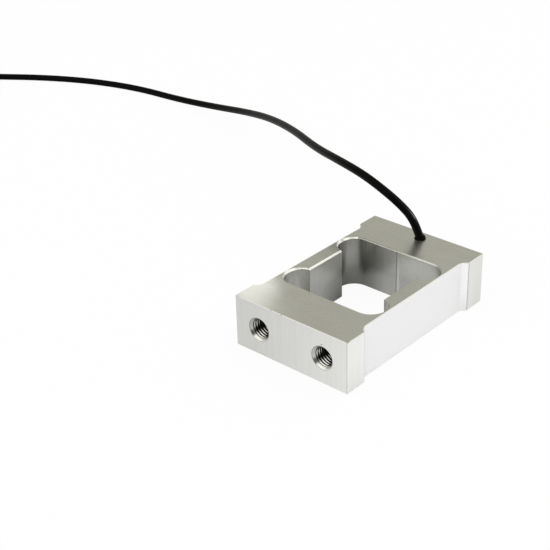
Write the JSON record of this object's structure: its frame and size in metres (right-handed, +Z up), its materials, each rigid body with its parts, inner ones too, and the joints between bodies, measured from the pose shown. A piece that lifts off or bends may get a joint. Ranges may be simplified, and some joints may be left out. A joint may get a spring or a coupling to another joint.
{
  "type": "single point load cell",
  "caption": "Flat rectangular aluminium bending beam with a lobed window, tapped holes in both ends, white covered strain gauges and a black signal cable.",
  "frame": {"origin": "middle of the body's footprint, on the surface that it lies on", "axes": "+Y along the beam towards the cable end, +X across the beam, +Z up out of the face that the cable leaves"},
  "size_m": [0.4607, 0.1931, 0.0542],
  "materials": {
    "body_aluminium": "satin machined aluminium with fine tool marks",
    "label_foil": "plain pale polyester foil",
    "gauge_foil": "amber polyimide carrier with a grey foil grid",
    "solder_pads": "tinned copper pads",
    "ribbon_enamel": "flat ribbon of enamelled wires",
    "board_green": "glass fibre circuit board",
    "resistor_ceramic": "small ceramic chip resistor",
    "cover_silicone": "smooth white silicone rubber",
    "wire_bundle": "foil wrapped wire bundle",
    "potting_resin": "black potting resin",
    "cable_jacket": "satin black cable jacket",
    "ferrule_brass": "plain crimped brass",
    "grommet_rubber": "black rubber",
    "tie_plastic": "matt black tie",
    "sleeve_plastic": "black heat-shrink sleeve",
    "core_red": "red core insulation with a tinned end",
    "core_black": "black core insulation with a tinned end",
    "core_green": "green core insulation with a tinned end",
    "core_white": "white core insulation with a tinned end",
    "core_shield": "tinned copper shield drain"
  },
  "bodies": {
    "root": {"sensor_body": "body_aluminium", "rating_label": "label_foil", "left_near_gauge": "gauge_foil", "left_far_gauge": "gauge_foil", "right_near_gauge": "gauge_foil", "right_far_gauge": "gauge_foil", "left_near_terminal": "solder_pads", "right_near_terminal": "solder_pads", "left_ribbon": "ribbon_enamel", "right_ribbon": "ribbon_enamel", "left_terminal_board": "board_green", "right_terminal_board": "board_green", "zero_trim_resistor": "resistor_ceramic", "span_resistor": "resistor_ceramic", "zero_drift_resistor": "resistor_ceramic", "span_drift_resistor": "resistor_ceramic", "left_cover": "cover_silicone", "right_cover": "cover_silicone", "link_bundle": "wire_bundle", "core_bundle": "wire_bundle", "bore_potting": "potting_resin", "cable_end": "cable_jacket", "cable_ferrule": "ferrule_brass", "cable_grommet": "grommet_rubber", "cable": "cable_jacket", "cable_coil": "cable_jacket", "coil_tie": "tie_plastic", "cable_tail": "cable_jacket", "end_sleeve": "sleeve_plastic", "red_core": "core_red", "black_core": "core_black", "green_core": "core_green", "white_core": "core_white", "shield_drain": "core_shield"}
  },
  "joints": []
}
